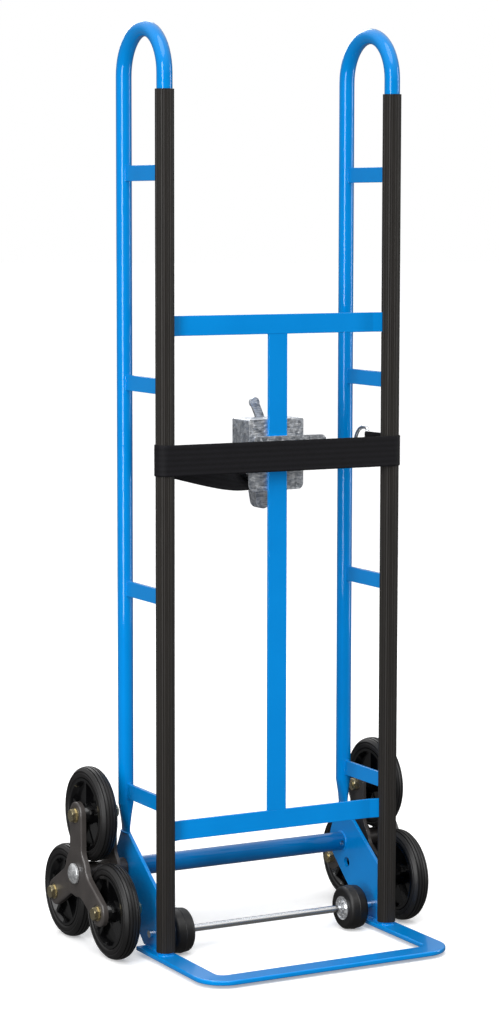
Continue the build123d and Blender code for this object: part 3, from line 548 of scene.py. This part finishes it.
# Painted highlight: the sharp edges are mixed towards near white, partly for rubbed wear and partly for the
# highlights along them.
worn_and_highlit_edges = add_node(
    tree,
    "ShaderNodeMix",
    {
        "Factor_Float": edge_wear_and_highlight_mask(tree, edge_wear_and_highlight_reach),
        "A_Color": tint.outputs[2],
        "B_Color": colour("#FAFCFF"),
    },
    data_type="RGBA",
)
shine = add_node(
    tree, "ShaderNodeMapRange", {"Value": crystal.outputs["Green"], "To Min": 0.28, "To Max": 0.55}
)
bloom = add_node(
    tree, "ShaderNodeMapRange", {"Value": contrast.outputs["Result"], "To Min": 1.0, "To Max": 0.7}
)
skin = add_node(
    tree, "ShaderNodeBump", {"Height": mottle.outputs["Value"], "Strength": 0.2, "Distance": 0.0003}
)
wire(
    tree,
    surface,
    {
        "Base Color": worn_and_highlit_edges.outputs[2],
        "Roughness": shine.outputs["Result"],
        "Normal": skin.outputs["Normal"],
        "Metallic": bloom.outputs["Result"],
    },
)
dress(spangled_zinc, "winch_housing", "winch_back_plate", "clamp_plate")
dress(spangled_zinc, "winch_handle", "holding_pawl", "drive_pawl")


# Strap ring: a bent and butt-welded wire loop, sewn into the strap's end and held by the hook on the leg.
# Drawn wire, left bright, so it mirrors its surroundings in thin streaks.
dress(drawn_steel, "strap_ring")


# Tie strap: one length of black webbing, from under the winch roll round both front posts to the ring.
# It leaves the roll flat, turns on edge on its way to the left post, and is sewn back on itself at the ring.
strap_width = 0.050
strap_thickness = 0.002
strap_lay = 0.00015
yarn_pitch = 0.0025
yarn_swell = 0.00022
weave_swell = 0.00012
selvedge_share = 0.45
turn_in = 0.028
sewn_run = 0.014
strap_tail = 0.034
half_step = yarn_pitch / 2
sleeve_low, sleeve_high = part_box("sleeve_right")
sleeve_radius = (sleeve_high.x - sleeve_low.x) / 2
strap_post_x = (sleeve_high.x + sleeve_low.x) / 2
strap_post_y = sleeve_low.y + sleeve_radius
ring_low, ring_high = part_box("strap_ring")
ring_wire = ring_high.x - ring_low.x
ring_x = (ring_low.x + ring_high.x) / 2
ring_y = ring_low.y + ring_wire / 2
strap_level = (ring_low.z + ring_high.z) / 2
roll_low, roll_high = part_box("webbing_roll")
strap_start_y = (roll_low.y + roll_high.y) / 2
strap_start_z = roll_low.z + strap_thickness / 2
wrap = sleeve_radius + strap_lay + strap_thickness / 2
leave_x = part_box("winch_housing")[0].x + turn_in
loop = ring_wire / 2 + strap_lay + strap_thickness / 2
to_winch = Vector((leave_x + strap_post_x, strap_start_y - strap_post_y))
post_start = math.atan2(to_winch.y, to_winch.x) + math.acos(wrap / to_winch.length)
to_ring = Vector((ring_x - strap_post_x, ring_y - strap_post_y))
post_end = math.atan2(to_ring.y, to_ring.x) - math.acos((wrap - loop) / to_ring.length)
sewn_out = loop - strap_thickness
loop_end = math.atan2(sewn_out, sewn_run) - math.acos(loop / math.hypot(sewn_run, sewn_out))
left_front, right_front = 1.5 * math.pi, -0.5 * math.pi
loop_start, loop_last = 0.5 * math.pi, 2 * math.pi + loop_end


def round_left(turn):
    """Place on the middle of the strap where it lies round the left post."""
    return Vector((wrap * math.cos(turn) - strap_post_x, strap_post_y + wrap * math.sin(turn), strap_level))


def round_right(turn):
    """Place on the middle of the strap where it lies round the right post."""
    return Vector((wrap * math.cos(turn) + strap_post_x, strap_post_y + wrap * math.sin(turn), strap_level))


def by_ring(forward, outward):
    """Place beside the ring: along the strap towards the post, and away from the truck."""
    along = Vector((math.sin(post_end), -math.cos(post_end), 0))
    away = Vector((math.cos(post_end), math.sin(post_end), 0))
    return Vector((ring_x, ring_y, strap_level)) + forward * along + outward * away


def round_ring(turn):
    """Place on the middle of the strap where it loops round the ring's wire."""
    return by_ring(loop * math.cos(turn), loop * math.sin(turn))


def walk(start, end):
    """Places on a straight run, half a yarn apart, without the last."""
    steps = round((end - start).length / half_step)
    return [start.lerp(end, step / steps) for step in range(steps)]


def wind(bend, radius, first, last):
    """Places on a bend, half a yarn apart, without the last."""
    steps = round(radius * (last - first) / half_step)
    gap = (last - first) / steps
    return [bend(first + gap * step) for step in range(steps)]


def add_webbing(mesh, line, across, columns, swell):
    """Adds a strip of webbing to a bmesh. Yarns swell along it in columns, over and under in turn."""
    weave = mesh.verts.layers.float_vector.new("weave_place")
    rows = []
    travelled = 0.0
    for place, middle in enumerate(line):
        before, after = line[max(place - 1, 0)], line[min(place + 1, len(line) - 1)]
        travelled += (middle - before).length
        facing = (after - before).cross(across[place]).normalized()
        faces = ([], [])
        for column in range(columns + 1):
            share = column / columns
            half = strap_thickness / 2
            if swell:
                under = (column + place // 2 * 2) % 4 < 2
                half -= yarn_swell * (column % 2) + weave_swell * under
            if column in (0, columns):
                half *= selvedge_share
            sideways = middle + across[place] * strap_width * (share - 0.5)
            for face, way in zip(faces, (1, -1)):
                point = mesh.verts.new(sideways + facing * way * half)
                point[weave] = (strap_width * share, travelled, 0.0)
                face.append(point)
        rows.append(faces[0] + faces[1][::-1])
    join_rings(mesh, rows)
    for row in (rows[0], rows[-1]):
        for column in range(columns):
            mesh.faces.new((row[column], row[column + 1], row[-2 - column], row[-1 - column]))


twist_start = Vector((leave_x, strap_start_y, strap_start_z))
twist_end = round_left(post_start)
flat_heading = Vector((-1, 0, 0))
run_heading = ((twist_end - twist_start) * Vector((1, 1, 0))).normalized()
flat_steps = round(-leave_x / half_step)
flat_line = [Vector((-step * half_step, strap_start_y, strap_start_z)) for step in range(flat_steps)]
twist_line = walk(twist_start, twist_end)
upright_line = wind(round_left, wrap, post_start, left_front)
upright_line += walk(round_left(left_front), round_right(right_front))
upright_line += wind(round_right, wrap, right_front, post_end)
upright_line += walk(round_right(post_end), by_ring(0, loop))
upright_line += wind(round_ring, loop, loop_start, loop_last)
upright_line += walk(round_ring(loop_last), by_ring(sewn_run, sewn_out))
upright_line += walk(by_ring(sewn_run, sewn_out), by_ring(strap_tail, sewn_out))
upright_line.append(by_ring(strap_tail, sewn_out))
strap_line = flat_line + twist_line + upright_line
strap_across = [Vector((0, 1, 0))] * len(flat_line)
for step in range(len(twist_line)):
    ease = 1 - (1 - step / len(twist_line)) ** 3
    heading = flat_heading.lerp(run_heading, ease).normalized()
    turn = math.pi / 2 * ease
    strap_across.append(heading.cross(upward).normalized() * math.cos(turn) + upward * math.sin(turn))
strap_across += [upward] * len(upright_line)

# Woven polyester: black yarn with a soft sheen, in rows along the strap, each crossed by the weft.
# Real rows are about 1.2 mm; the modelled ones are twice that to show, and the fine ones are in the shader.
# Bands of tighter warp show as faint lines along it. A wave texture of scale 1 repeats every wave_unit.
row_pitch = 0.00125
band_pitch = 0.0085
fade_size = 0.03
wave_unit = math.pi / 10
webbing, tree, surface, _ = new_finish("woven_black_polyester")
weave_place = add_node(tree, "ShaderNodeAttribute", {}, attribute_name="weave_place").outputs["Vector"]
warp, weft = [
    add_node(
        tree,
        "ShaderNodeTexWave",
        {"Vector": weave_place, "Scale": wave_unit / row_pitch, "Distortion": 0.6, "Detail": 2.0},
        bands_direction=way,
    )
    for way in "XY"
]
cloth = add_node(
    tree,
    "ShaderNodeMath",
    {"Value": warp.outputs["Fac"], "Value_001": weft.outputs["Fac"]},
    operation="MULTIPLY",
)
bands = add_node(
    tree,
    "ShaderNodeTexWave",
    {"Vector": weave_place, "Scale": wave_unit / band_pitch, "Distortion": 0.3},
    bands_direction="X",
)
faint = add_node(tree, "ShaderNodeMapRange", {"Value": bands.outputs["Fac"], "To Max": 0.3})
fade = add_node(tree, "ShaderNodeTexNoise", {"Vector": weave_place, "Scale": 1 / fade_size, "Detail": 5.0})
yarn_light = add_node(
    tree,
    "ShaderNodeMath",
    {"Value": cloth.outputs["Value"], "Value_001": fade.outputs["Fac"], "Value_002": faint.outputs["Result"]},
    operation="MULTIPLY_ADD",
)
tint = add_node(
    tree,
    "ShaderNodeMix",
    {"Factor_Float": yarn_light.outputs["Value"], "A_Color": colour("#070709"), "B_Color": colour("#1C1B20")},
    data_type="RGBA",
)
shine = add_node(tree, "ShaderNodeMapRange", {"Value": fade.outputs["Fac"], "To Min": 0.5, "To Max": 0.75})
skin = add_node(
    tree, "ShaderNodeBump", {"Height": cloth.outputs["Value"], "Strength": 0.5, "Distance": 0.0003}
)
wire(
    tree,
    surface,
    {
        "Base Color": tint.outputs[2],
        "Roughness": shine.outputs["Result"],
        "Normal": skin.outputs["Normal"],
        "IOR": 1.5,
        "Specular IOR Level": 0.15,
        "Sheen Weight": 0.03,
        "Sheen Roughness": 0.4,
    },
)
strap_mesh = bmesh.new()
add_webbing(strap_mesh, strap_line, strap_across, 2 * round(strap_width / yarn_pitch), True)
strap = make_piece("woven_tie_strap", strap_mesh, webbing, "frame")
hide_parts("tie_strap")

# Stitching at the ring: a box with a cross in it, lock-stitched in bonded thread through both layers.
# Each stitch thins towards its ends; the shape gives places along it and the share of its radius there.
stitch_length = 0.0032
stitch_gap = 0.0009
stitch_radius = 0.00038
stitch_sides = 6
stitch_margin = 0.005
stitch_shape = ((0.0, 0.3), (0.15, 0.85), (0.5, 1.0), (0.85, 0.85), (1.0, 0.3))


def add_stitch(mesh, start, end):
    """Adds one stitch to a bmesh: a thread that dips into the webbing at both ends."""
    heading = (end - start).normalized()
    side = heading.orthogonal().normalized()
    rings = []
    for share, girth in stitch_shape:
        reach = stitch_radius * girth
        ring = ring_points(start.lerp(end, share), reach * side, reach * heading.cross(side), stitch_sides)
        rings.append([mesh.verts.new(point) for point in ring])
    join_rings(mesh, rings)
    mesh.faces.new(reversed(rings[0]))
    mesh.faces.new(rings[-1])


seam_near = sewn_run + stitch_margin / 2
seam_far = strap_tail - stitch_margin / 2
seam_rise = strap_width / 2 - stitch_margin
corners = [(seam_near, -seam_rise), (seam_far, -seam_rise), (seam_far, seam_rise), (seam_near, seam_rise)]
seam_lines = list(zip(corners, corners[1:] + corners[:1]))
seam_lines += [(corners[0], corners[2]), (corners[1], corners[3])]
stitches = bmesh.new()
for outward in (loop + strap_thickness / 2, sewn_out - strap_thickness / 2):
    for (near, low), (far, high) in seam_lines:
        start = by_ring(near, outward) + low * upward
        end = by_ring(far, outward) + high * upward
        count = max(1, round((end - start).length / (stitch_length + stitch_gap)))
        for step in range(count):
            first = start.lerp(end, step / count)
            add_stitch(stitches, first, first.lerp(end, stitch_length / (end - first).length))
stitching = make_piece("strap_stitching", stitches, webbing, "frame")


# Strap roll: the rest of the webbing, wound tight on the spindle with its free end running out underneath.
# The same woven polyester; its edges show as a flat spiral at both ends.
wound_gap = 0.0006
first_turn_rise = 0.0016
turn_points = 64
roll_columns = 14
spindle_radius = 0.008
spindle_low, spindle_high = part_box("winch_spindle")
spindle_z = (spindle_low.z + spindle_high.z) / 2
wound_pitch = strap_thickness + wound_gap
wound_reach = spindle_z - strap_start_z
wound_turns = (wound_reach - spindle_radius - first_turn_rise) / wound_pitch
wound_steps = round(wound_turns * turn_points)
roll_line = []
for step in range(wound_steps + 1):
    left_over = wound_turns * (1 - step / wound_steps)
    reach = wound_reach - wound_pitch * left_over
    turn = math.pi - 2 * math.pi * left_over
    roll_line.append(Vector((reach * math.sin(turn), strap_start_y, spindle_z + reach * math.cos(turn))))
roll_mesh = bmesh.new()
add_webbing(roll_mesh, roll_line, [Vector((0, 1, 0))] * len(roll_line), roll_columns, False)
roll = make_piece("wound_strap_roll", roll_mesh, webbing, "spindle")
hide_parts("webbing_roll")


# Studio: a pale floor under plain soft light, and the camera at the height and side of the photograph.
# Painted floor: matt white with faint scuffs. It glows a little, as a white sweep does, so that it fades
# into the white behind it. It neither lights the truck nor shows mirrored in it.
floor_reach = 60.0
floor_sides = 96
scuff_size = 0.6
floor_mesh = bmesh.new()
bmesh.ops.create_circle(floor_mesh, cap_ends=True, segments=floor_sides, radius=floor_reach)
floor_data = bpy.data.meshes.new("studio_floor")
floor_mesh.to_mesh(floor_data)
floor_mesh.free()
floor_paint, tree, surface, place = new_finish("matt_white_floor_paint")
scuffs = add_node(tree, "ShaderNodeTexNoise", {"Vector": place, "Scale": 1 / scuff_size, "Detail": 4.0})
shine = add_node(tree, "ShaderNodeMapRange", {"Value": scuffs.outputs["Fac"], "To Min": 0.75, "To Max": 0.9})
wire(
    tree,
    surface,
    {
        "Base Color": colour("#F4F4F4"),
        "Roughness": shine.outputs["Result"],
        "Emission Color": colour("#FFFFFF"),
        "Emission Strength": 0.3,
    },
)
floor_data.materials.append(floor_paint)
floor = bpy.data.objects.new("studio_floor", floor_data)
bpy.context.collection.objects.link(floor)
floor.visible_diffuse = False
floor.visible_glossy = False

# Backdrop: white to look at, dim as a light, and in mirrored light dark walls under a bright ceiling.
seen_light = 1.0
room_light = 0.3
wall_light = 0.12
ceiling_light = 1.2
wall_top = 0.1
ceiling_edge = 0.8
scene = bpy.context.scene
scene.view_settings.view_transform = "Standard"
studio = bpy.data.worlds.new("white_studio")
scene.world = studio
studio.use_nodes = True
tree = studio.node_tree
seen = add_node(tree, "ShaderNodeBackground", {"Color": colour("#FFFFFF"), "Strength": seen_light})
sight = add_node(tree, "ShaderNodeLightPath", {})
heading = add_node(tree, "ShaderNodeTexCoord", {}).outputs["Generated"]
climb = add_node(tree, "ShaderNodeSeparateXYZ", {"Vector": heading}).outputs["Z"]
mirrored = add_node(
    tree,
    "ShaderNodeMapRange",
    {
        "Value": climb,
        "From Min": wall_top,
        "From Max": ceiling_edge,
        "To Min": wall_light,
        "To Max": ceiling_light,
    },
)
strength = add_node(
    tree,
    "ShaderNodeMapRange",
    {"Value": sight.outputs["Is Glossy Ray"], "To Min": room_light, "To Max": mirrored.outputs["Result"]},
)
fill = add_node(
    tree, "ShaderNodeBackground", {"Color": colour("#FFFFFF"), "Strength": strength.outputs["Result"]}
)
backdrop = add_node(
    tree,
    "ShaderNodeMixShader",
    {
        "Fac": sight.outputs["Is Camera Ray"],
        "Shader": fill.outputs["Background"],
        "Shader_001": seen.outputs["Background"],
    },
)
wire(tree, tree.nodes["World Output"], {"Surface": backdrop.outputs["Shader"]})

# Lamps: a wide diffuser overhead, and softboxes whose tall shapes draw the streaks along the tubes.
aim = Vector((0.0, 0.0, 0.75))
overhead = bpy.data.lights.new("overhead_diffuser", "SUN")
overhead.energy = 2.1
overhead.angle = math.radians(50)
diffuser = bpy.data.objects.new("overhead_diffuser", overhead)
diffuser.rotation_euler = Vector((0.3, 0.55, -1.0)).to_track_quat("-Z", "Y").to_euler()
bpy.context.collection.objects.link(diffuser)
softboxes = [
    ("key_softbox", (-2.9, -2.0, 1.3), 1.1, 2.6, 105.0),
    ("fill_softbox", (2.9, -1.2, 1.2), 0.5, 2.4, 34.0),
    ("back_softbox", (0.8, 3.2, 2.6), 1.6, 1.6, 40.0),
]
for name, spot, width, height, power in softboxes:
    lamp = bpy.data.lights.new(name, "AREA")
    lamp.energy = power
    lamp.shape = "RECTANGLE"
    lamp.size = width
    lamp.size_y = height
    softbox = bpy.data.objects.new(name, lamp)
    softbox.location = spot
    softbox.rotation_euler = (aim - softbox.location).to_track_quat("-Z", "Y").to_euler()
    bpy.context.collection.objects.link(softbox)

# Camera: a long lens at chest height, off to the left of the load side, fitted to the photograph.
camera_place = (-2.1767, -3.9778, 1.2089)
yaw, pitch, roll_left = math.radians(28.425), math.radians(6.197), math.radians(0.1)
look = Vector((math.sin(yaw) * math.cos(pitch), math.cos(yaw) * math.cos(pitch), -math.sin(pitch)))
lens = bpy.data.cameras.new("photo_camera")
lens.sensor_width = 36.0
lens.lens = 97.6
camera = bpy.data.objects.new("photo_camera", lens)
bpy.context.collection.objects.link(camera)
turn = look.to_track_quat("-Z", "Y").to_matrix().to_4x4() @ Matrix.Rotation(roll_left, 4, "Z")
camera.matrix_world = Matrix.Translation(camera_place) @ turn
scene.camera = camera
